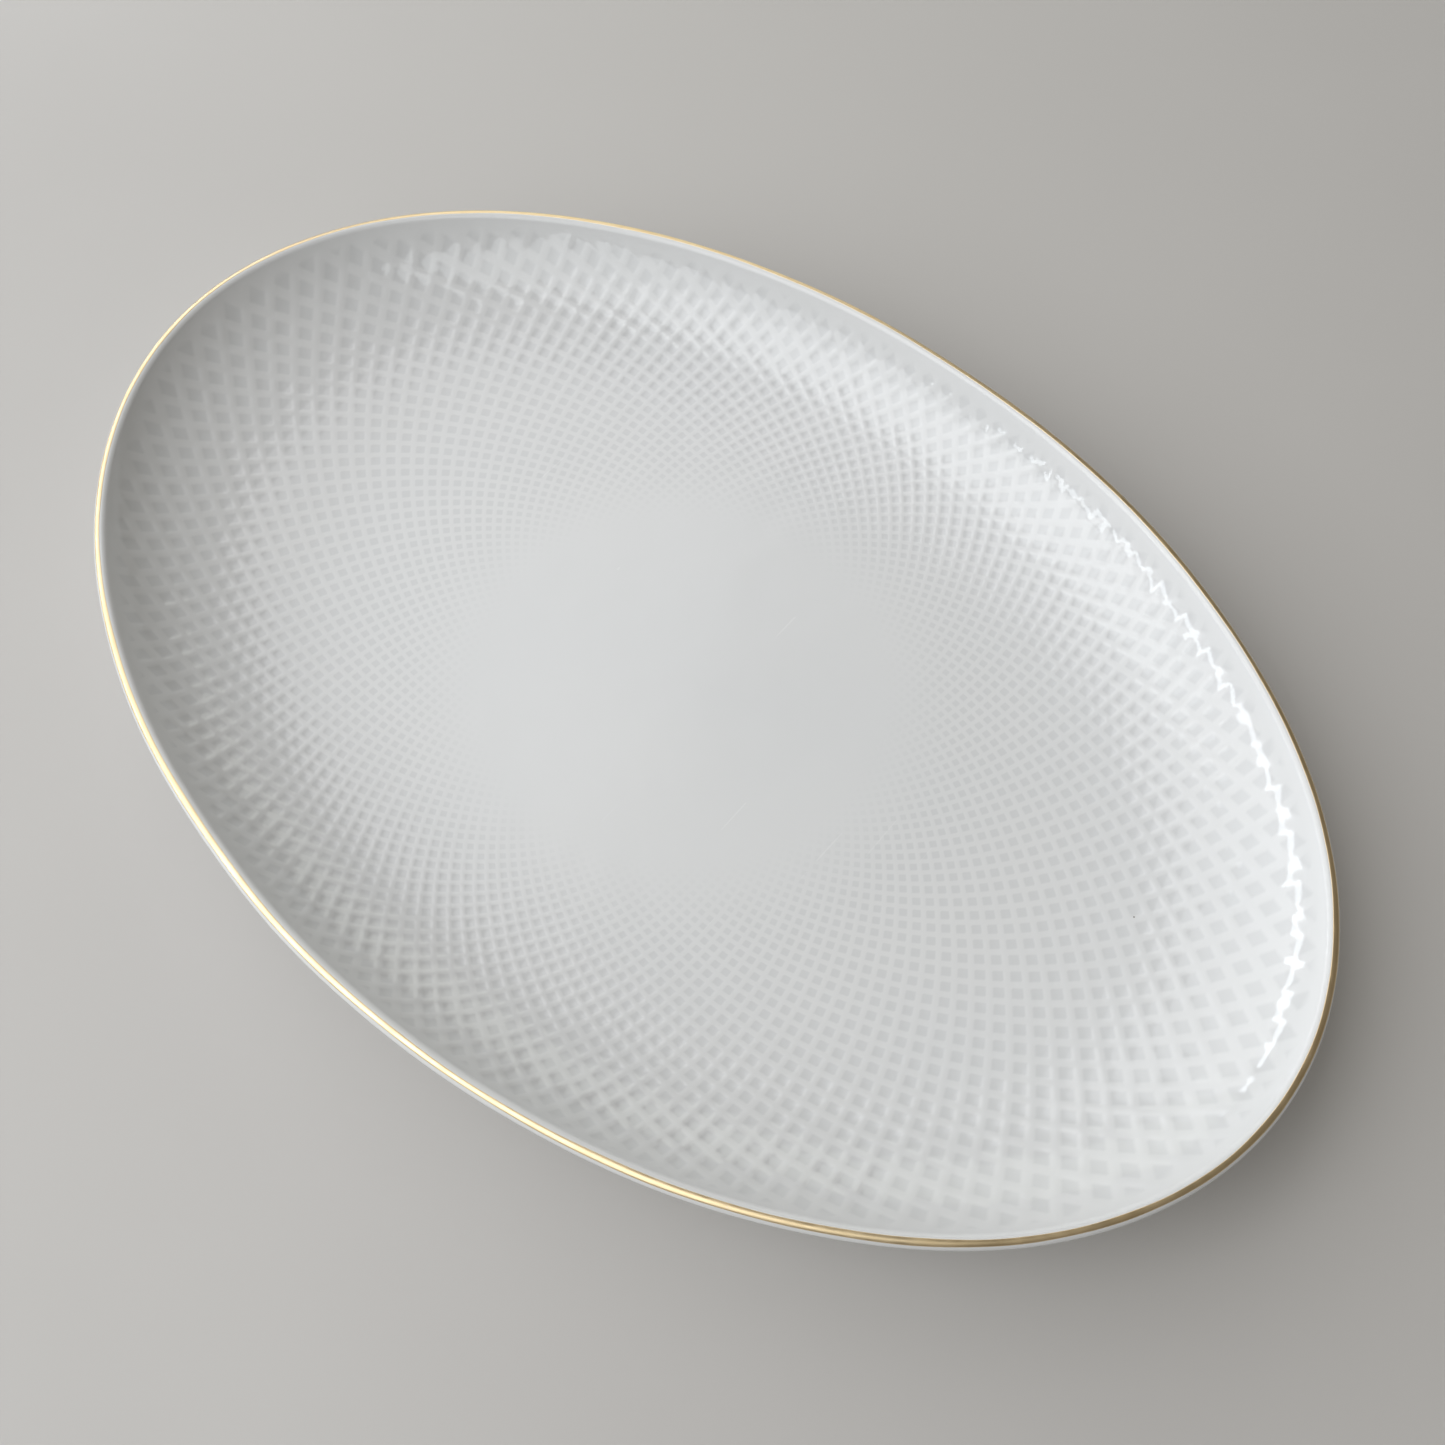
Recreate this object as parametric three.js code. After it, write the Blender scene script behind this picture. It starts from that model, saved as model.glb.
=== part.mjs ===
// Oval china serving platter with a gilt rim. Millimetres, +Z up, X along the long axis.
// The origin is on the table, under the middle of the dish.
//
// The section is drawn once, as that of a round dish whose radius is half the platter's width.
// ovalise() then spreads the turned solid to the platter's oval: the lip keeps its section all
// the way round, and everything inside it is a scaled copy of the lip's inner edge.

import * as THREE from 'three';

// Overall size.
const LENGTH = 360;
const WIDTH = 240;
const DISH_DEPTH = 24;

// The wall of the dish. Its inside rises by a slow power of the distance from the middle, and
// a quick one that turns it up under the lip.
const BOWL_RISE = 19.2;
const BOWL_POWER = 7;
const UPTURN_POWER = 34;
const FLAT_SHARE = 0.4;
const FLOOR_THICKNESS = 4.3;

// The lip is a round bead. Angles are measured from the outward level, up over the crest.
const LIP_RADIUS = 1.9;
const LIP_INNER_ANGLE = 155;
const GILT_THICKNESS = 0.35;
const GILT_INNER_ANGLE = 98;
const GILT_OUTER_ANGLE = 47;

// The standing ring under the dish.
const FOOT_HEIGHT = 4.6;
const FOOT_SHARE = 0.665;
const FOOT_TOP_WIDTH = 7;
const FOOT_TAPER = 1.2;
const FOOT_CHAMFER = 0.7;
const FOOT_MARGIN = 2.2;

// The curved part of the underside, as shares of the way from the middle to the lip.
const UNDERSIDE_START = 0.77;
const UNDERSIDE_END = 0.985;

// Facets. An ease above 1 crowds the steps towards the lip on the inside of the wall, and
// towards the end of the curve on the underside.
const AROUND = 96;
const WALL_STEPS = 11;
const WALL_EASE = 1.7;
const UNDERSIDE_STEPS = 7;
const UNDERSIDE_EASE = 1.4;
const LIP_STEPS = 3;
const GILT_STEPS = 4;

const HALF_WIDTH = WIDTH / 2;
const FLOOR_Z = FOOT_HEIGHT + FLOOR_THICKNESS;
const CREST_Z = FLOOR_Z + DISH_DEPTH;
const LIP_INSET = LIP_RADIUS * (1 - Math.cos(THREE.MathUtils.degToRad(LIP_INNER_ANGLE)));
const DISH_RADIUS = HALF_WIDTH - LIP_INSET;
const WALL_RISE = lipPoint(LIP_INNER_ANGLE, LIP_RADIUS).y - FLOOR_Z;
const FLAT_RISE = bowlCurve(FLAT_SHARE);
const FOOT_OUTER = FOOT_SHARE * HALF_WIDTH;

// A point of the section at the lip: x is the distance from the middle, y the height.
function lipPoint(degrees, radius) {
  const angle = THREE.MathUtils.degToRad(degrees);
  const x = HALF_WIDTH - LIP_RADIUS + radius * Math.cos(angle);
  const y = CREST_Z - LIP_RADIUS + radius * Math.sin(angle);
  return new THREE.Vector2(x, y);
}

function lipArc(fromDegrees, toDegrees, radius, steps) {
  const points = [];
  for (let i = 0; i <= steps; i += 1) {
    points.push(lipPoint(THREE.MathUtils.lerp(fromDegrees, toDegrees, i / steps), radius));
  }
  return points;
}

// How far the inside of the dish has risen at a share of the way from its middle to the lip.
function bowlCurve(share) {
  return BOWL_RISE * share ** BOWL_POWER + (WALL_RISE - BOWL_RISE) * share ** UPTURN_POWER;
}

function innerHeight(share) {
  const rise = Math.max(0, bowlCurve(share) - FLAT_RISE);
  return FLOOR_Z + rise * (WALL_RISE / (WALL_RISE - FLAT_RISE));
}

function innerSlope(share) {
  const step = 1e-4;
  return (bowlCurve(share + step) - bowlCurve(share - step)) / (2 * step * DISH_RADIUS);
}

// The underside runs level with the inside, one wall thickness away.
function undersidePoint(share) {
  const angle = Math.atan(innerSlope(share));
  const thickness = THREE.MathUtils.lerp(FLOOR_THICKNESS, 2 * LIP_RADIUS, share);
  const x = share * DISH_RADIUS + thickness * Math.sin(angle);
  const y = innerHeight(share) - thickness * Math.cos(angle);
  return new THREE.Vector2(x, y);
}

function undersideProfile() {
  const flatEdge = FOOT_OUTER + FOOT_MARGIN;
  const points = [new THREE.Vector2(0, FOOT_HEIGHT), new THREE.Vector2(flatEdge, FOOT_HEIGHT)];
  for (let i = 0; i < UNDERSIDE_STEPS; i += 1) {
    const left = (1 - i / (UNDERSIDE_STEPS - 1)) ** UNDERSIDE_EASE;
    points.push(undersidePoint(THREE.MathUtils.lerp(UNDERSIDE_END, UNDERSIDE_START, left)));
  }
  return points;
}

function wallProfile() {
  const points = [];
  for (let i = 1; i <= WALL_STEPS; i += 1) {
    const share = 1 - (1 - FLAT_SHARE) * (i / WALL_STEPS) ** WALL_EASE;
    points.push(new THREE.Vector2(share * DISH_RADIUS, innerHeight(share)));
  }
  points.push(new THREE.Vector2(0, FLOOR_Z));
  return points;
}

// The lip has a shallow seat over its crest, which the gilt band fills.
function lipProfile() {
  const seatRadius = LIP_RADIUS - GILT_THICKNESS;
  return [
    ...lipArc(LIP_INNER_ANGLE - 180, GILT_OUTER_ANGLE, LIP_RADIUS, LIP_STEPS),
    ...lipArc(GILT_OUTER_ANGLE, GILT_INNER_ANGLE, seatRadius, GILT_STEPS),
    ...lipArc(GILT_INNER_ANGLE, LIP_INNER_ANGLE, LIP_RADIUS, LIP_STEPS),
  ];
}

function giltProfile() {
  const seatRadius = LIP_RADIUS - GILT_THICKNESS;
  const points = [
    ...lipArc(GILT_OUTER_ANGLE, GILT_INNER_ANGLE, LIP_RADIUS, GILT_STEPS),
    ...lipArc(GILT_INNER_ANGLE, GILT_OUTER_ANGLE, seatRadius, GILT_STEPS),
  ];
  return [...points, points[0].clone()];
}

function footProfile() {
  const bottomOuter = FOOT_OUTER - FOOT_TAPER;
  const bottomInner = FOOT_OUTER - FOOT_TOP_WIDTH + FOOT_TAPER;
  const points = [
    new THREE.Vector2(FOOT_OUTER - FOOT_TOP_WIDTH, FOOT_HEIGHT),
    new THREE.Vector2(bottomInner, FOOT_CHAMFER),
    new THREE.Vector2(bottomInner + FOOT_CHAMFER, 0),
    new THREE.Vector2(bottomOuter - FOOT_CHAMFER, 0),
    new THREE.Vector2(bottomOuter, FOOT_CHAMFER),
    new THREE.Vector2(FOOT_OUTER, FOOT_HEIGHT),
  ];
  return [...points, points[0].clone()];
}

// Moves each point of a turned solid to the oval. Points less than band inside the radius keep
// that distance from the oval's edge, and the rest are spread in proportion.
function ovalise(geometry, radius, band) {
  const semiX = (radius / HALF_WIDTH) * (LENGTH / 2);
  const semiY = radius;
  const place = geometry.attributes.position;
  for (let i = 0; i < place.count; i += 1) {
    const distance = Math.hypot(place.getX(i), place.getY(i));
    const angle = Math.atan2(place.getY(i), place.getX(i));
    const edge = new THREE.Vector2(semiX * Math.cos(angle), semiY * Math.sin(angle));
    const outward = new THREE.Vector2(Math.cos(angle) / semiX, Math.sin(angle) / semiY).normalize();
    const inset = Math.min(radius - distance, band);
    edge.addScaledVector(outward, -inset);
    edge.multiplyScalar(distance / (radius - inset));
    place.setXY(i, edge.x, edge.y);
  }
  geometry.computeVertexNormals();
  return geometry;
}

function turned(profile, radius, band) {
  const geometry = new THREE.LatheGeometry(profile, AROUND);
  geometry.rotateX(Math.PI / 2);
  return ovalise(geometry, radius, band);
}

function piece(name, geometry, material) {
  const mesh = new THREE.Mesh(geometry, material);
  mesh.name = name;
  return mesh;
}

function platterBody() {
  const profile = [...undersideProfile(), ...lipProfile(), ...wallProfile()];
  const glaze = new THREE.MeshStandardMaterial({ color: 0xe9ebea, roughness: 0.12, metalness: 0 });
  return piece('platter_body', turned(profile, HALF_WIDTH, LIP_INSET), glaze);
}

function giltRim() {
  const gold = new THREE.MeshStandardMaterial({ color: 0xd2a85c, roughness: 0.25, metalness: 1 });
  return piece('gilt_rim', turned(giltProfile(), HALF_WIDTH, LIP_INSET), gold);
}

function footRing() {
  const biscuit = new THREE.MeshStandardMaterial({ color: 0xe4e0d8, roughness: 0.6, metalness: 0 });
  return piece('foot_ring', turned(footProfile(), FOOT_OUTER, FOOT_TOP_WIDTH), biscuit);
}

const platter = new THREE.Group();
platter.name = 'serving_platter';
platter.add(platterBody(), giltRim(), footRing());

export default platter;
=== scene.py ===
"""An oval china serving platter with a pressed lattice relief and a gilt rim, made round its CAD
frame. Metres, +Z up, X along the platter's long axis, the origin on the table under its middle."""
import math

import bpy
import numpy as np
from mathutils import Matrix, Vector, noise


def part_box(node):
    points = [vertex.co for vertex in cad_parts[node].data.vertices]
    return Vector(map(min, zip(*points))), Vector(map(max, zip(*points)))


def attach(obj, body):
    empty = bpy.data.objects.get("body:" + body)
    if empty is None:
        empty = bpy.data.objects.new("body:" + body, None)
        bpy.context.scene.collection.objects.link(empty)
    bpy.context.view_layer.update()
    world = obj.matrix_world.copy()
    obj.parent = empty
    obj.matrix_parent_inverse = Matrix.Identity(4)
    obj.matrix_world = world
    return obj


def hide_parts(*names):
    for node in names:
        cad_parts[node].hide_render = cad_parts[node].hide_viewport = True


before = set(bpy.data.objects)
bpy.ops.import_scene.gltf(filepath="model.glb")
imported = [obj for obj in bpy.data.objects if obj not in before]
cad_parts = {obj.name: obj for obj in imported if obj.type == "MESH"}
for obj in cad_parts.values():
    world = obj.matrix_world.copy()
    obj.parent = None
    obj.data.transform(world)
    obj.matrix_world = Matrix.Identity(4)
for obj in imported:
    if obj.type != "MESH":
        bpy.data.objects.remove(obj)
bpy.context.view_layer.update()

MM = 0.001

# The frame's own sizes.
HALF_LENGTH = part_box("platter_body")[1].x
HALF_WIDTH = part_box("platter_body")[1].y
FOOT_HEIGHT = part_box("foot_ring")[1].z
FOOT_HALF_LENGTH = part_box("foot_ring")[1].x
FOOT_HALF_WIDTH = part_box("foot_ring")[1].y

# The section, as in the CAD model.
FLOOR_THICKNESS = 4.3 * MM
DISH_DEPTH = 24 * MM
BOWL_RISE = 19.2 * MM
BOWL_POWER = 7
UPTURN_POWER = 34
LIP_RADIUS = 1.9 * MM
LIP_INNER_ANGLE = 155
GILT_INNER_ANGLE = 98
GILT_OUTER_ANGLE = 47
FOOT_TOP_WIDTH = 7 * MM
FOOT_TAPER = 1.2 * MM
FOOT_MARGIN = 2.2 * MM

FLOOR = FOOT_HEIGHT + FLOOR_THICKNESS
BEAD_LEVEL = FLOOR + DISH_DEPTH - LIP_RADIUS
LIP_INSET = LIP_RADIUS * (1 - math.cos(math.radians(LIP_INNER_ANGLE)))
DISH_RADIUS = HALF_WIDTH - LIP_INSET
WALL_RISE = BEAD_LEVEL + LIP_RADIUS * math.sin(math.radians(LIP_INNER_ANGLE)) - FLOOR

# The relief: two families of spiral ridges that cross at nearly right angles, on a lattice that
# grows with the distance from the middle. Between them are shallow rounded recesses.
SPIRALS = 117
RADIAL_RATE = 115.2
SPIRAL_PHASES = (14.20, -3.98)
LATTICE_MIDDLE = (-0.7 * MM, 0.8 * MM)
LATTICE_STRETCH = 0.034
LATTICE_SKEW = -0.018
CELL_SAMPLES = (0.11, 0.28, 0.72, 0.89)
RECESS_SPAN = (0.25, 0.75)
RELIEF_INNER = 44 * MM
RELIEF_FULL = 84 * MM
RELIEF_DEPTHS = (0.03 * MM, 0.22 * MM)

# The relief fades out between these distances from the lip's inner edge.
LIP_FADE = (0.9 * MM, 2.1 * MM)

# Where the relief changes, as shares of the way from the middle to the lip's inner edge: it
# deepens, gets uneven and then hammered, its recess tint of pooled glaze and painted shade
# weakens, and its grid ends.
DEEPENS = (0.55, 0.97)
GETS_UNEVEN = (0.62, 0.90)
GETS_HAMMERED = (0.82, 0.96)
TINT_WEAKENS = (0.70, 0.93)
RELIEF_EDGE = 0.995

# How much each of those does. The patches are the noise's scale, per metre, and the layers are
# the heights at which the noise is read, so that the two differ.
UNEVENNESS = 0.9
UNEVEN_PATCHES = 150
UNEVEN_LAYER = 3.7
HAMMER_DEPTH = 0.22 * MM
HAMMER_PATCHES = 330
HAMMER_LAYER = 9.1
TINT_LOSS = 0.20

# The smooth inside of the relief, as (radius in millimetres, number of points) of each ring.
FLOOR_RINGS = ((40, 234), (34, 156), (25, 117), (16, 78), (8, 39))

# The rest of the body. The approach is the shares just above the relief. The underside's curve
# runs between two shares, and its rings are (share of the half width, number of points).
LIP_APPROACH = (0.9965, 0.9985)
LIP_STEPS = 21
UNDERSIDE_START = 0.79
UNDERSIDE_END = 0.985
UNDERSIDE_STEPS = 13
BEND_STEPS = 7
UNDERSIDE_RINGS = ((0.5, 200), (0.33, 100), (0.17, 50), (0.07, 25))

# How many points a ring of the lip has, and how finely the lip's inner edge is looked up.
AROUND = 300
EDGE_SAMPLES = 4096

# Waves round the platter, each (count, size, phase). The lip swells out and lifts, in
# millimetres, from the settled share outwards. The gilt's two edges wander, in degrees.
SETTLED_SHARE = 0.70
LIP_SWELL = ((3, 0.16, 0.7), (5, 0.12, 2.1), (9, 0.08, 4.0), (14, 0.05, 1.2))
LIP_LIFT = ((2, 0.14, 1.9), (7, 0.07, 0.3))
GILT_INNER_WAVES = ((6, 2.6, 0.4), (17, 1.8, 2.0), (41, 1.0, 5.0))
GILT_OUTER_WAVES = ((5, 3.0, 3.1), (13, 2.0, 1.0), (37, 1.2, 0.6))

# The gilt's skin, as (share of the way across the gilt line, millimetres above the china). Its
# edges and its back are sunk in the china.
GILT_FACE = (
    (0.0, -0.06), (0.03, 0.0), (0.10, 0.025), (0.25, 0.035), (0.42, 0.035),
    (0.58, 0.035), (0.75, 0.035), (0.90, 0.025), (0.97, 0.0), (1.0, -0.06),
)
GILT_BACK = ((0.94, -0.12), (0.5, -0.12), (0.06, -0.12))

# The foot is rounded where it stands, and flares into the body above.
FOOT_ROUND = 0.9 * MM
FOOT_FLARE = 1.1 * MM


def smooth(low, high, value):
    x = np.clip((value - low) / (high - low), 0, 1)
    return x * x * (3 - 2 * x)


def waves(angle, parts):
    return sum(size * np.sin(count * angle + phase) for count, size, phase in parts)


def bowl_curve(share):
    return BOWL_RISE * share**BOWL_POWER + (WALL_RISE - BOWL_RISE) * share**UPTURN_POWER


def bowl_slope(share):
    slow = BOWL_POWER * BOWL_RISE * share ** (BOWL_POWER - 1)
    quick = UPTURN_POWER * (WALL_RISE - BOWL_RISE) * share ** (UPTURN_POWER - 1)
    return (slow + quick) / DISH_RADIUS


def inset_oval(semi_x, semi_y, angle, inset):
    """Points of an oval, moved in square to its edge. angle is the ellipse's own parameter."""
    edge = np.stack([semi_x * np.cos(angle), semi_y * np.sin(angle)], axis=-1)
    outward = np.stack([np.cos(angle) / semi_x, np.sin(angle) / semi_y], axis=-1)
    outward /= np.linalg.norm(outward, axis=-1, keepdims=True)
    return edge - np.asarray(inset)[..., None] * outward


def dish_ring(distance, height, angle):
    """A ring of the platter's body. distance is measured in the section across its middle."""
    inset = min(HALF_WIDTH - distance, LIP_INSET)
    oval = inset_oval(HALF_LENGTH, HALF_WIDTH, angle, np.full_like(angle, inset))
    oval *= distance / (HALF_WIDTH - inset)
    return np.column_stack([oval, np.full(len(angle), height)])


def lip_point(degrees, radius=LIP_RADIUS):
    angle = math.radians(degrees)
    return HALF_WIDTH - LIP_RADIUS + radius * math.cos(angle), BEAD_LEVEL + radius * math.sin(angle)


def dish_share(x, y):
    """How far a point is on the way from the middle to the lip's inner edge."""
    margin = 0.02
    angle = np.linspace(-margin, 2 * math.pi + margin, EDGE_SAMPLES)
    edge = inset_oval(HALF_LENGTH, HALF_WIDTH, angle, np.full_like(angle, LIP_INSET))
    polar = np.unwrap(np.arctan2(edge[:, 1], edge[:, 0]))
    reach = np.hypot(edge[:, 0], edge[:, 1])
    return np.hypot(x, y) / np.interp(np.arctan2(y, x) % (2 * math.pi), polar, reach)


def settle(points):
    """The slight unevenness of a hand-finished, fired platter. It grows from outside the foot,
    which is ground flat, towards the lip."""
    x, y, z = points.T
    polar = np.arctan2(y, x)
    weight = np.clip((dish_share(x, y) - SETTLED_SHARE) / (1 - SETTLED_SHARE), 0, 1.1) ** 2
    outward = MM * waves(polar, LIP_SWELL) * weight
    lift = MM * waves(polar, LIP_LIFT) * weight
    return np.column_stack([x + outward * np.cos(polar), y + outward * np.sin(polar), z + lift])


class Shell:
    """Collects a mesh's vertices, its faces and how much of a recess each vertex lies in, which
    sets how darkly it is tinted, partly for pooled glaze and partly as painted shade.
    """

    def __init__(self):
        self.points = []
        self.recess = []
        self.faces = []
        self.count = 0

    def add(self, points, recess=0.0):
        """Adds points and returns their numbers."""
        first = self.count
        self.points.append(points)
        self.recess.append(np.broadcast_to(recess, len(points)))
        self.count += len(points)
        return np.arange(first, self.count)

    def band(self, lower, upper):
        """Quads between two rings with the same number of points."""
        ahead_lower = np.roll(lower, -1)
        ahead_upper = np.roll(upper, -1)
        self.faces += np.column_stack([lower, upper, ahead_upper, ahead_lower]).tolist()

    def bridge(self, outer, inner, flip=False):
        """Triangles between two rings with any numbers of points, each in order of angle."""
        places = np.concatenate(self.points)
        polar = np.arctan2(places[:, 1], places[:, 0]) % (2 * math.pi)
        outer = outer[np.argsort(polar[outer])]
        inner = inner[np.argsort(polar[inner])]
        outer_polar = np.append(polar[outer], polar[outer[0]] + 2 * math.pi)
        inner_polar = np.append(polar[inner], polar[inner[0]] + 2 * math.pi)
        i = j = 0
        while i < len(outer) or j < len(inner):
            here = outer[i % len(outer)]
            there = inner[j % len(inner)]
            outer_next = j == len(inner) or (
                i < len(outer) and outer_polar[i + 1] <= inner_polar[j + 1]
            )
            if outer_next:
                face = [here, outer[(i + 1) % len(outer)], there]
                i += 1
            else:
                face = [here, inner[(j + 1) % len(inner)], there]
                j += 1
            self.faces.append(face[::-1] if flip else face)

    def cap(self, ring, middle, flip=False):
        """Closes a ring with a fan round its middle point."""
        hub = self.add(np.array([middle]))[0]
        for a, b in zip(ring, np.roll(ring, -1)):
            self.faces.append([b, a, hub] if flip else [a, b, hub])

    def build(self, name, material):
        mesh = bpy.data.meshes.new(name)
        points = settle(np.concatenate(self.points))
        mesh.from_pydata(points.tolist(), [], [[int(v) for v in face] for face in self.faces])
        measures = {
            "recess": np.concatenate(self.recess),
            "share": dish_share(points[:, 0], points[:, 1]),
        }
        for measure, values in measures.items():
            column = mesh.attributes.new(measure, "FLOAT", "POINT")
            column.data.foreach_set("value", values.astype(np.float32))
        mesh.shade_smooth()
        mesh.materials.append(material)
        mesh.validate()
        thing = bpy.data.objects.new(name, mesh)
        bpy.context.scene.collection.objects.link(thing)
        return thing


# ---- The dish's body -----------------------------------------------------------------------


def lattice():
    """The relief's grid: positions on the plan and the recess at each, by level and place."""
    samples = np.array(CELL_SAMPLES)
    per_cell = len(samples)
    around = SPIRALS * per_cell
    rate = per_cell * RADIAL_RATE / math.pi
    ahead = per_cell * (SPIRAL_PHASES[0] - SPIRAL_PHASES[1]) / (2 * math.pi)
    first = math.floor(math.log(RELIEF_INNER / MM) * rate + ahead)
    last = math.ceil(math.log(HALF_LENGTH / MM) * rate + ahead)
    level, place = np.meshgrid(np.arange(first, last + 1), np.arange(around), indexing="ij")
    # A point's two phases, in turns, one along each family of ridges.
    other = place - level
    phase_a = place // per_cell + samples[place % per_cell]
    phase_b = other // per_cell + samples[other % per_cell]
    turn_a = 2 * math.pi * phase_a - SPIRAL_PHASES[0]
    turn_b = 2 * math.pi * phase_b - SPIRAL_PHASES[1]
    polar = (turn_a + turn_b) / (2 * SPIRALS)
    radius = MM * np.exp((turn_a - turn_b) / (2 * RADIAL_RATE))
    square = np.array([
        [1 - LATTICE_STRETCH / 2, LATTICE_SKEW],
        [LATTICE_SKEW, 1 + LATTICE_STRETCH / 2],
    ])
    x, y = np.tensordot(
        np.linalg.inv(square), np.stack([radius * np.cos(polar), radius * np.sin(polar)]), axes=1
    )
    low = (samples > RECESS_SPAN[0]) & (samples < RECESS_SPAN[1])
    recess = (low[place % per_cell] & low[other % per_cell]).astype(float)
    return x + LATTICE_MIDDLE[0], y + LATTICE_MIDDLE[1], recess, radius


def ripples(x, y, scale, layer):
    """Smooth noise between about -1 and 1 at each point, with features about 1 / scale across."""
    return np.array([noise.noise(Vector((u, v, layer))) for u, v in zip(x * scale, y * scale)])


def relief(x, y, share, radius, recess):
    """The relief's height, below the smooth bowl, and how strongly its recesses are tinted darker,
    partly for glaze pooled thicker there and partly as painted shade. It fades out towards the
    middle and at the lip, and grows soft and hammered up the wall."""
    gap = (1 - share) / share * np.hypot(x, y)
    below_lip = smooth(*LIP_FADE, gap)
    present = smooth(RELIEF_INNER, RELIEF_FULL, radius) * below_lip
    shallow, deep = RELIEF_DEPTHS
    depth = shallow + (deep - shallow) * smooth(*DEEPENS, share)
    uneven = UNEVENNESS * smooth(*GETS_UNEVEN, share) * ripples(x, y, UNEVEN_PATCHES, UNEVEN_LAYER)
    hammered = HAMMER_DEPTH * smooth(*GETS_HAMMERED, share) * below_lip
    hammered *= ripples(x, y, HAMMER_PATCHES, HAMMER_LAYER)
    height = hammered - depth * recess * present * (1 + uneven)
    return height, recess * present * (1 - TINT_LOSS * smooth(*TINT_WEAKENS, share))


def china_inside(shell):
    """The inside of the dish, from its middle to just under the lip. Returns its outer ring."""
    x, y, recess, radius = lattice()
    levels, around = x.shape
    share = dish_share(x, y)
    outside = share > RELIEF_EDGE
    pull = np.where(outside, RELIEF_EDGE / share, 1)
    x, y = x * pull, y * pull
    share = np.minimum(share, RELIEF_EDGE)

    # Each quad has one corner on the level below its middle, two on it and one above.
    level, place = np.meshgrid(np.arange(1, levels - 1), np.arange(around), indexing="ij")
    ahead = (place + 1) % around
    corners = np.stack([
        level * around + place,
        (level + 1) * around + ahead,
        level * around + ahead,
        (level - 1) * around + place,
    ], axis=-1).reshape(-1, 4)
    kept = corners[~outside.ravel()[corners].all(axis=1)]
    used, kept = np.unique(kept, return_inverse=True)
    kept = kept.reshape(-1, 4)

    x, y, share = x.ravel()[used], y.ravel()[used], share.ravel()[used]
    recess, radius = recess.ravel()[used], radius.ravel()[used]
    height, tint = relief(x, y, share, radius, recess)
    numbers = shell.add(np.column_stack([x, y, FLOOR + bowl_curve(share) + height]), tint)
    shell.faces += numbers[kept].tolist()

    edges = np.sort(np.concatenate([kept[:, [i, (i + 1) % 4]] for i in range(4)]), axis=1)
    edges, uses = np.unique(edges, axis=0, return_counts=True)
    rim = np.unique(edges[uses == 1])
    halfway = (share[rim].min() + share[rim].max()) / 2
    inner = rim[share[rim] < halfway]
    outer = rim[share[rim] > halfway]

    ring = numbers[inner]
    for reach, count in FLOOR_RINGS:
        angle = np.arange(count) * 2 * math.pi / count
        circle = reach * MM * np.column_stack([np.cos(angle), np.sin(angle)])
        inside = shell.add(np.column_stack([circle, np.full(count, FLOOR)]))
        shell.bridge(ring, inside)
        ring = inside
    shell.cap(ring, (0, 0, FLOOR))
    return numbers[outer]


def lip_and_underside():
    """The section from just above the relief, over the lip and down to the foot."""
    section = []
    for share in LIP_APPROACH:
        section.append((share * DISH_RADIUS, FLOOR + bowl_curve(share)))
    for degrees in np.linspace(LIP_INNER_ANGLE, LIP_INNER_ANGLE - 180, LIP_STEPS):
        section.append(lip_point(degrees))
    for share in np.linspace(UNDERSIDE_END, UNDERSIDE_START, UNDERSIDE_STEPS):
        tilt = math.atan(bowl_slope(share))
        thickness = FLOOR_THICKNESS + (2 * LIP_RADIUS - FLOOR_THICKNESS) * share
        distance = share * DISH_RADIUS + thickness * math.sin(tilt)
        section.append((distance, FLOOR + bowl_curve(share) - thickness * math.cos(tilt)))
    # A soft curve from the wall down onto the level part that the foot stands on.
    (far_x, far_z), (near_x, near_z) = section[-2:]
    level_x = FOOT_HALF_WIDTH + FOOT_MARGIN
    bend_x = near_x - (near_z - FOOT_HEIGHT) * (far_x - near_x) / (far_z - near_z)
    for t in np.linspace(0, 1, BEND_STEPS)[1:]:
        a, b, c = (1 - t) ** 2, 2 * t * (1 - t), t * t
        section.append((
            a * near_x + b * bend_x + c * level_x,
            a * near_z + b * FOOT_HEIGHT + c * FOOT_HEIGHT,
        ))
    return section


def make_china(material):
    shell = Shell()
    ring = china_inside(shell)
    angle = np.arange(AROUND) * 2 * math.pi / AROUND
    for number, (distance, height) in enumerate(lip_and_underside()):
        further = shell.add(dish_ring(distance, height, angle))
        if number == 0:
            shell.bridge(further, ring)
        else:
            shell.band(ring, further)
        ring = further
    for share, count in UNDERSIDE_RINGS:
        angle = np.arange(count) * 2 * math.pi / count
        further = shell.add(dish_ring(share * HALF_WIDTH, FOOT_HEIGHT, angle))
        shell.bridge(ring, further, flip=True)
        ring = further
    shell.cap(ring, (0, 0, FOOT_HEIGHT), flip=True)
    china = shell.build("platter_china", material)
    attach(china, "root")
    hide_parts("platter_body")


# ---- The gilt line and the foot ------------------------------------------------------------


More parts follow.
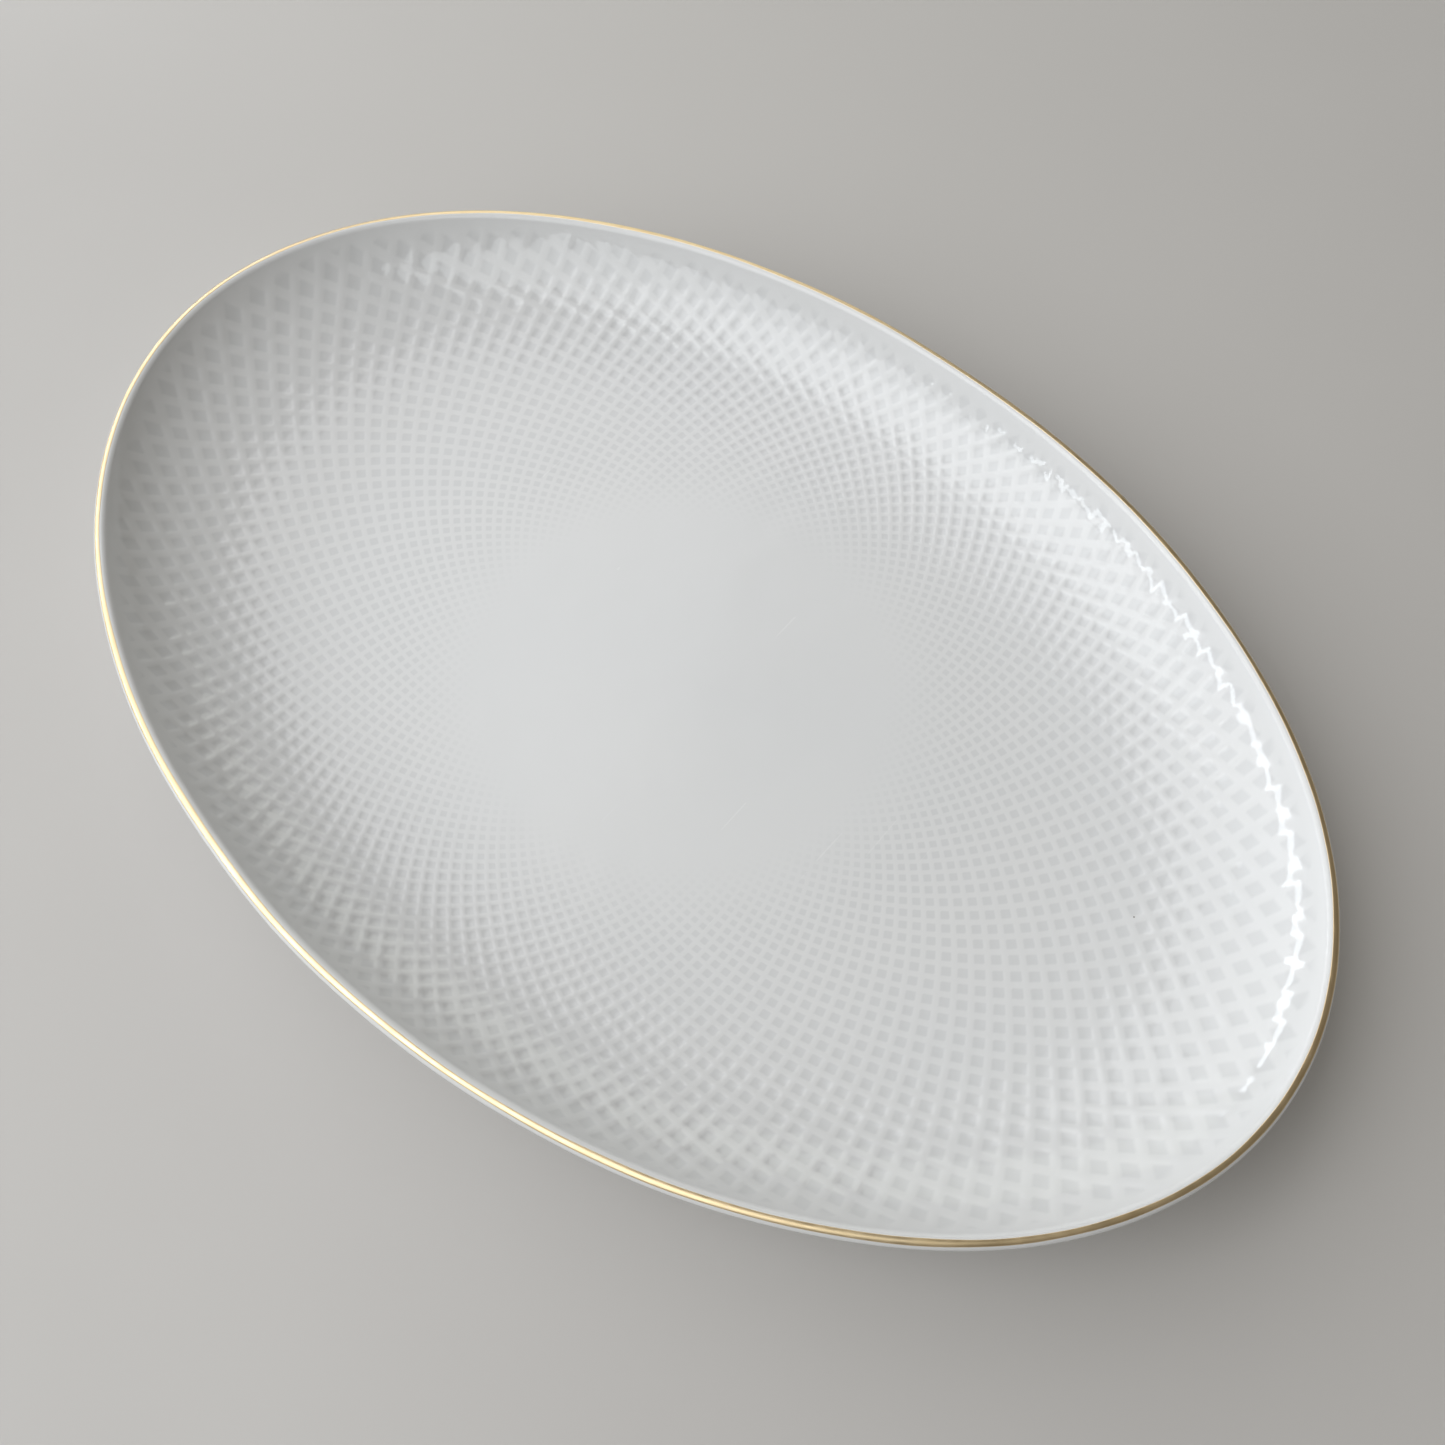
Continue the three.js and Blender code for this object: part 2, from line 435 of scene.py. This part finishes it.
def make_gilt(material):
    """A thin skin of gold over the lip's crest, its two edges drawn by hand."""
    shell = Shell()
    count = 2 * AROUND
    angle = np.arange(count) * 2 * math.pi / count
    start = GILT_INNER_ANGLE + waves(angle, GILT_INNER_WAVES)
    end = GILT_OUTER_ANGLE + waves(angle, GILT_OUTER_WAVES)
    rings = []
    for along, rise in GILT_FACE + GILT_BACK:
        degrees = start + (end - start) * along
        lip = np.radians(degrees)
        radius = LIP_RADIUS + rise * MM
        inset = LIP_RADIUS - radius * np.cos(lip)
        oval = inset_oval(HALF_LENGTH, HALF_WIDTH, angle, inset)
        rings.append(shell.add(np.column_stack([oval, BEAD_LEVEL + radius * np.sin(lip)])))
    for ring, further in zip(rings, rings[1:] + rings[:1]):
        shell.band(ring, further)
    gilt = shell.build("gilt_line", material)
    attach(gilt, "root")
    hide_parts("gilt_rim")


def foot_section():
    """The foot's closed section as (inset from its outer edge, height), rounded at the ground."""
    outer_side = []
    for turn in np.radians(np.linspace(0, 90, 5)):
        outer_side.append((
            -FOOT_FLARE * (1 - math.sin(turn)),
            FOOT_HEIGHT - FOOT_FLARE * (1 - math.cos(turn)),
        ))
    for turn in np.radians(np.linspace(0, 90, 6)):
        outer_side.append((
            FOOT_TAPER + FOOT_ROUND * (1 - math.cos(turn)),
            FOOT_ROUND * (1 - math.sin(turn)),
        ))
    inner_side = [(FOOT_TOP_WIDTH - inset, height) for inset, height in reversed(outer_side)]
    return outer_side + inner_side


def make_foot(material):
    shell = Shell()
    angle = np.arange(AROUND) * 2 * math.pi / AROUND
    rings = []
    for inset, height in foot_section():
        oval = inset_oval(FOOT_HALF_LENGTH, FOOT_HALF_WIDTH, angle, np.full_like(angle, inset))
        rings.append(shell.add(np.column_stack([oval, np.full(AROUND, height)])))
    for ring, further in zip(rings, rings[1:] + rings[:1]):
        shell.band(ring, further)
    foot = shell.build("foot", material)
    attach(foot, "root")
    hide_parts("foot_ring")


# ---- Materials -----------------------------------------------------------------------------


class Nodes:
    """A material's node tree, with short calls for the nodes that the materials share."""

    def __init__(self, name):
        self.material = bpy.data.materials.new(name)
        self.material.use_nodes = True
        self.tree = self.material.node_tree
        self.shader = self.tree.nodes["Principled BSDF"]
        self.place = self.node("ShaderNodeTexCoord").outputs["Object"]

    def node(self, kind, **settings):
        made = self.tree.nodes.new(kind)
        for key, value in settings.items():
            setattr(made, key, value)
        return made

    def link(self, source, target):
        self.tree.links.new(source, target)

    def feed(self, socket, value):
        if isinstance(value, bpy.types.NodeSocket):
            self.link(value, socket)
        else:
            socket.default_value = value

    def noise(self, scale, detail=3.0, roughness=0.5, place=None):
        made = self.node("ShaderNodeTexNoise")
        self.link(place or self.place, made.inputs["Vector"])
        made.inputs["Scale"].default_value = scale
        made.inputs["Detail"].default_value = detail
        made.inputs["Roughness"].default_value = roughness
        return made.outputs["Fac"]

    def stretched(self, scale, turn=0.0):
        made = self.node("ShaderNodeMapping")
        self.link(self.place, made.inputs["Vector"])
        made.inputs["Scale"].default_value = scale
        made.inputs["Rotation"].default_value = (0, 0, turn)
        return made.outputs["Vector"]

    def attribute(self, name):
        return self.node("ShaderNodeAttribute", attribute_name=name).outputs["Fac"]

    def math(self, operation, a, b=0.0):
        made = self.node("ShaderNodeMath", operation=operation)
        self.feed(made.inputs[0], a)
        self.feed(made.inputs[1], b)
        return made.outputs[0]

    def span(self, value, low, high, to_low=0.0, to_high=1.0):
        """value from low to high becomes to_low to to_high, eased at both ends."""
        made = self.node("ShaderNodeMapRange", interpolation_type="SMOOTHSTEP")
        self.feed(made.inputs["Value"], value)
        made.inputs["From Min"].default_value = low
        made.inputs["From Max"].default_value = high
        made.inputs["To Min"].default_value = to_low
        made.inputs["To Max"].default_value = to_high
        return made.outputs["Result"]

    def mix(self, share, a, b):
        made = self.node("ShaderNodeMix", data_type="RGBA")
        self.feed(made.inputs["Factor"], share)
        self.feed(made.inputs["A"], a)
        self.feed(made.inputs["B"], b)
        return made.outputs["Result"]

    def specks(self, scale, size, share):
        """Very sparse round specks, in a share of a Voronoi pattern's cells. The cells fill space,
        so a speck shows only where its cell's centre lies close to the surface."""
        made = self.node("ShaderNodeTexVoronoi")
        self.link(self.place, made.inputs["Vector"])
        made.inputs["Scale"].default_value = scale
        near = self.span(made.outputs["Distance"], size * 0.6, size, 1.0, 0.0)
        parts = self.node("ShaderNodeSeparateColor")
        self.link(made.outputs["Color"], parts.inputs["Color"])
        chosen = self.math("LESS_THAN", parts.outputs["Red"], share)
        return self.math("MULTIPLY", near, chosen)

    def bump(self, height, strength, distance, under=None):
        made = self.node("ShaderNodeBump")
        self.link(height, made.inputs["Height"])
        made.inputs["Strength"].default_value = strength
        made.inputs["Distance"].default_value = distance
        if under is not None:
            self.link(under, made.inputs["Normal"])
        return made.outputs["Normal"]

    def finish(self, color, roughness, normal, metallic=0.0):
        self.feed(self.shader.inputs["Base Color"], color)
        self.feed(self.shader.inputs["Roughness"], roughness)
        self.feed(self.shader.inputs["Metallic"], metallic)
        self.link(normal, self.shader.inputs["Normal"])
        return self.material


def gray(value, warm=0.0):
    return (value * (1 + warm), value, value * (1 - warm), 1)


# Colours. A pair is the two ends that soft noise runs between.
GLAZE_ON_RIDGES = (gray(0.735, -0.008), gray(0.765, 0.004))
# The recess colour is darker partly for glaze pooled thicker and partly as painted shade.
RECESS_GLAZE_AND_SHADE = (gray(0.670, -0.010), gray(0.695, 0.000))
PINHOLE = (0.16, 0.13, 0.10, 1)
GOLD = ((0.86, 0.65, 0.36, 1), (0.95, 0.78, 0.52, 1))
WORN_GOLD = gray(0.72, 0.05)
BARE_CHINA = (gray(0.52, 0.05), gray(0.70, 0.045))
FOOT_SMUDGE = gray(0.30, 0.08)
TOASTED_CHINA = (0.55, 0.40, 0.27, 1)
FOOT_GLAZE = (gray(0.73), gray(0.76))
FLOOR_GRAYS = (gray(0.50, 0.04), gray(0.56, 0.035))

GLAZE_INDEX = 1.52
GLAZE_ROUGHNESS = (0.035, 0.075)
USED_ROUGHNESS = 0.13
GOLD_ROUGHNESS = (0.30, 0.42)
BARE_ROUGHNESS = (0.62, 0.85)
FLOOR_ROUGHNESS = (0.50, 0.62)


def scuffs(nodes):
    """Fine crossing scratches left by cutlery and stacking, few and faint."""
    total = None
    for turn in (0.3, 1.5, 2.4):
        lines = nodes.noise(1.0, detail=1.0, place=nodes.stretched((900, 16, 16), turn))
        fine = nodes.span(lines, 0.70, 0.76)
        total = fine if total is None else nodes.math("MAXIMUM", total, fine)
    where = nodes.span(nodes.noise(22, detail=2), 0.50, 0.66)
    return nodes.math("MULTIPLY", total, where)


def china_glaze():
    nodes = Nodes("china_glaze")
    # The recesses are tinted darker: partly glaze pooled thicker, partly painted shade.
    recess = nodes.span(nodes.attribute("recess"), 0.05, 0.95)
    cloud = nodes.noise(16, detail=4)
    ridge = nodes.mix(cloud, *GLAZE_ON_RIDGES)
    pooled_and_shaded = nodes.mix(cloud, *RECESS_GLAZE_AND_SHADE)
    color = nodes.mix(recess, ridge, pooled_and_shaded)
    pits = nodes.specks(85, 0.026, 0.035)
    color = nodes.mix(nodes.math("MULTIPLY", pits, 0.75), color, PINHOLE)
    # The glaze is duller where food is served and cut, and bright on the wall.
    used = nodes.span(nodes.attribute("share"), 0.50, 0.86, USED_ROUGHNESS, 0.0)
    rough = nodes.span(nodes.noise(60, detail=3), 0.3, 0.7, *GLAZE_ROUGHNESS)
    rough = nodes.math("ADD", rough, used)
    rough = nodes.math("ADD", rough, nodes.math("MULTIPLY", scuffs(nodes), 0.10))
    peel = nodes.noise(330, detail=2, roughness=0.4)
    swell = nodes.noise(70, detail=1)
    normal = nodes.bump(swell, 0.35, 0.35 * MM)
    normal = nodes.bump(peel, 0.12, 0.06 * MM, under=normal)
    nodes.shader.inputs["IOR"].default_value = GLAZE_INDEX
    return nodes.finish(color, rough, normal)


def burnished_gold():
    nodes = Nodes("burnished_gold")
    tone = nodes.noise(140, detail=3)
    gold = nodes.mix(tone, *GOLD)
    rubbed = nodes.span(nodes.noise(260, detail=4, roughness=0.7), 0.68, 0.78)
    color = nodes.mix(nodes.math("MULTIPLY", rubbed, 0.5), gold, WORN_GOLD)
    metal = nodes.span(rubbed, 0.0, 1.0, 0.90, 0.6)
    rough = nodes.span(nodes.noise(240, detail=3), 0.3, 0.7, *GOLD_ROUGHNESS)
    strokes = nodes.noise(700, detail=2)
    normal = nodes.bump(strokes, 0.12, 0.04 * MM)
    return nodes.finish(color, rough, normal, metal)


def foot_biscuit():
    """Glazed down its sides, bare and ground where it stands."""
    nodes = Nodes("foot_biscuit")
    parts = nodes.node("ShaderNodeSeparateXYZ")
    nodes.link(nodes.place, parts.inputs[0])
    edge = nodes.math("MULTIPLY", nodes.noise(160, detail=3), 0.7 * MM)
    level = nodes.math("SUBTRACT", parts.outputs["Z"], edge)
    glazed = nodes.span(level, 0.45 * MM, 0.75 * MM)
    toasted = nodes.math("MULTIPLY", nodes.span(level, 0.1 * MM, 0.45 * MM), 0.5)
    grain = nodes.noise(1500, detail=4, roughness=0.7)
    bare = nodes.mix(grain, *BARE_CHINA)
    smudge = nodes.span(nodes.noise(45, detail=4), 0.52, 0.72)
    bare = nodes.mix(nodes.math("MULTIPLY", smudge, 0.45), bare, FOOT_SMUDGE)
    bare = nodes.mix(toasted, bare, TOASTED_CHINA)
    glaze = nodes.mix(nodes.noise(20, detail=3), *FOOT_GLAZE)
    color = nodes.mix(glazed, bare, glaze)
    dull = nodes.span(grain, 0.2, 0.8, *BARE_ROUGHNESS)
    rough = nodes.math("MULTIPLY", nodes.math("SUBTRACT", 1.0, glazed), dull)
    rough = nodes.math("ADD", rough, 0.09)
    relief = nodes.math("MULTIPLY", grain, nodes.math("SUBTRACT", 1.0, glazed))
    normal = nodes.bump(relief, 0.5, 0.08 * MM)
    return nodes.finish(color, rough, normal)


def pale_floor():
    nodes = Nodes("pale_floor")
    color = nodes.mix(nodes.noise(3.0, detail=4), *FLOOR_GRAYS)
    rough = nodes.span(nodes.noise(8, detail=3), 0.3, 0.7, *FLOOR_ROUGHNESS)
    normal = nodes.bump(nodes.noise(500, detail=2), 0.10, 0.05 * MM)
    return nodes.finish(color, rough, normal)


# ---- The studio ----------------------------------------------------------------------------

# The roll is in radians, and the lens and sensor are in millimetres. The lights stand at one
# distance from the origin.
CAMERA_PLACE = Vector((126.5, -140.4, 367.2)) * MM
CAMERA_AIM = Vector((22.6, -9.9, 31.0)) * MM
CAMERA_ROLL = 0.0313
CAMERA_LENS = 37.37
SENSOR = 36
LIGHT_REACH = 1.8


def place_camera():
    data = bpy.data.cameras.new("camera")
    data.lens = CAMERA_LENS
    data.sensor_width = SENSOR
    data.clip_start = 0.01
    camera = bpy.data.objects.new("camera", data)
    bpy.context.scene.collection.objects.link(camera)
    turn = (CAMERA_AIM - CAMERA_PLACE).to_track_quat("-Z", "Y").to_matrix().to_4x4()
    roll = Matrix.Rotation(CAMERA_ROLL, 4, "Z")
    camera.matrix_world = Matrix.Translation(CAMERA_PLACE) @ turn @ roll
    bpy.context.scene.camera = camera


def area_light(name, compass, elevation, size, power, color):
    """A soft rectangular light that faces the dish. compass is measured from +X towards +Y, and
    like elevation is in degrees. size is in metres and power in watts."""
    data = bpy.data.lights.new(name, "AREA")
    data.shape = "RECTANGLE"
    data.size, data.size_y = size
    data.energy = power
    data.color = color
    light = bpy.data.objects.new(name, data)
    bpy.context.scene.collection.objects.link(light)
    turn, rise = math.radians(compass), math.radians(elevation)
    level = math.cos(rise)
    light.location = LIGHT_REACH * Vector(
        (level * math.cos(turn), level * math.sin(turn), math.sin(rise))
    )
    light.rotation_euler = (-light.location).to_track_quat("-Z", "Y").to_euler()


def light_studio():
    area_light("low_window", 200, 20, (3.4, 0.22), 10.5, (0.88, 0.95, 1.0))
    area_light("near_window", 261, 50, (1.9, 1.9), 19, (0.94, 0.98, 1.0))
    area_light("far_window", 196, 46, (3.2, 2.2), 25.5, (0.96, 0.97, 1.0))
    area_light("side_fill", 129, 20, (1.2, 1.0), 4, (0.95, 1.0, 0.92))
    world = bpy.data.worlds.new("room")
    world.use_nodes = True
    background = world.node_tree.nodes["Background"]
    background.inputs["Color"].default_value = (1.0, 0.88, 0.70, 1)
    background.inputs["Strength"].default_value = 0.12
    bpy.context.scene.world = world
    bpy.context.scene.view_settings.view_transform = "Standard"


def lay_floor():
    mesh = bpy.data.meshes.new("floor")
    reach = 4.0
    corners = [(-reach, -reach, 0), (reach, -reach, 0), (reach, reach, 0), (-reach, reach, 0)]
    mesh.from_pydata(corners, [], [(0, 1, 2, 3)])
    mesh.materials.append(pale_floor())
    floor = bpy.data.objects.new("floor", mesh)
    bpy.context.scene.collection.objects.link(floor)


place_camera()
light_studio()
lay_floor()
make_china(china_glaze())
make_gilt(burnished_gold())
make_foot(foot_biscuit())

bpy.context.view_layer.update()
